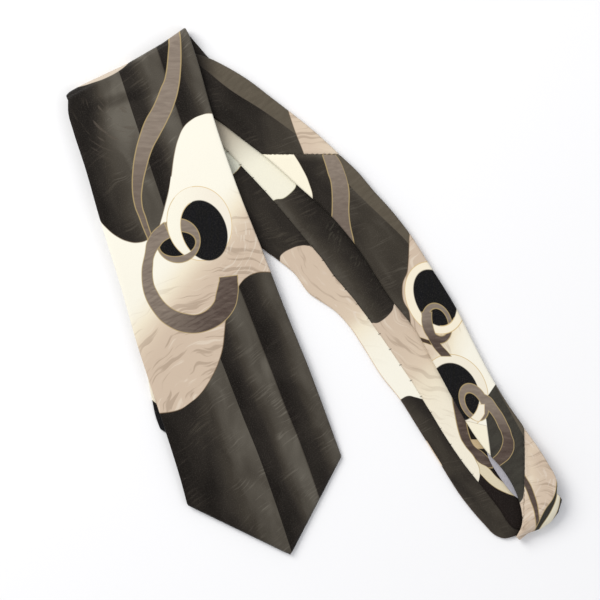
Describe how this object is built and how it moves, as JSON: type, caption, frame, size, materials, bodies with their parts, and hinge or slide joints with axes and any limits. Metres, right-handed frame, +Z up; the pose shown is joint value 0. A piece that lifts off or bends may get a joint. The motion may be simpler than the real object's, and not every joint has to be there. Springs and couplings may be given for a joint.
{
  "type": "necktie",
  "caption": "Wide patterned silk necktie laid flat in a folded pile: the pointed blade lies over the narrow neck strip, which loops softly back at the far corner.",
  "frame": {"origin": "on the surface that the folded tie lies on, under the middle of its overall box", "axes": "+Z up from the surface, +Y from the wide tip towards the top fold, +X from the blade towards the soft turn"},
  "size_m": [0.322, 0.3422, 0.014],
  "materials": {
    "silk_print": "satin printed silk twill, dark olive charcoal, cream and taupe",
    "interlining": "brushed wool and cotton interlining, off-white grey",
    "lining": "smooth dark lining",
    "thread": "dark silk thread",
    "label": "woven label, blank"
  },
  "bodies": {
    "arm": {"under_blade_shell": "silk_print", "under_blade_interlining": "interlining", "under_slip_stitches": "thread", "neck_turn_shell": "silk_print", "neck_turn_interlining": "interlining", "neck_shell": "silk_print", "neck_interlining": "interlining", "neck_slip_stitches": "thread", "tail_upper_shell": "silk_print", "blade_neck_seam_stitches": "thread", "neck_tail_seam_stitches": "thread", "blade_fold_shell": "silk_print", "blade_fold_interlining": "interlining", "tail_fold_shell": "silk_print", "tail_fold_interlining": "interlining"},
    "front_leaf": {"blade_shell": "silk_print", "blade_interlining": "interlining", "blade_lining": "lining", "blade_bar_tack": "thread", "blade_slip_stitches": "thread", "keeper_loop": "silk_print", "maker_label": "label"},
    "tail_leaf": {"tail_shell": "silk_print", "tail_interlining": "interlining", "tail_lining": "lining", "tail_bar_tack": "thread", "tail_slip_stitches": "thread", "care_label": "label"}
  },
  "joints": [
    {"name": "blade_fold", "type": "hinge", "parent": "arm", "child": "front_leaf", "pos_m": [-0.1198, 0.1452, 0.00565], "axis": [-0.8771, -0.4802, 0], "range_deg": [0, 170], "deforming": ["blade_fold_shell", "blade_fold_interlining"]},
    {"name": "tail_fold", "type": "hinge", "parent": "arm", "child": "tail_leaf", "pos_m": [-0.101, 0.146, 0.00565], "axis": [-0.8572, -0.515, 0], "range_deg": [0, 153.1], "deforming": ["tail_fold_shell", "tail_fold_interlining"]}
  ],
  "couplings": [
    {"joint": "tail_fold", "follows": "blade_fold", "ratio": 0.9}
  ]
}
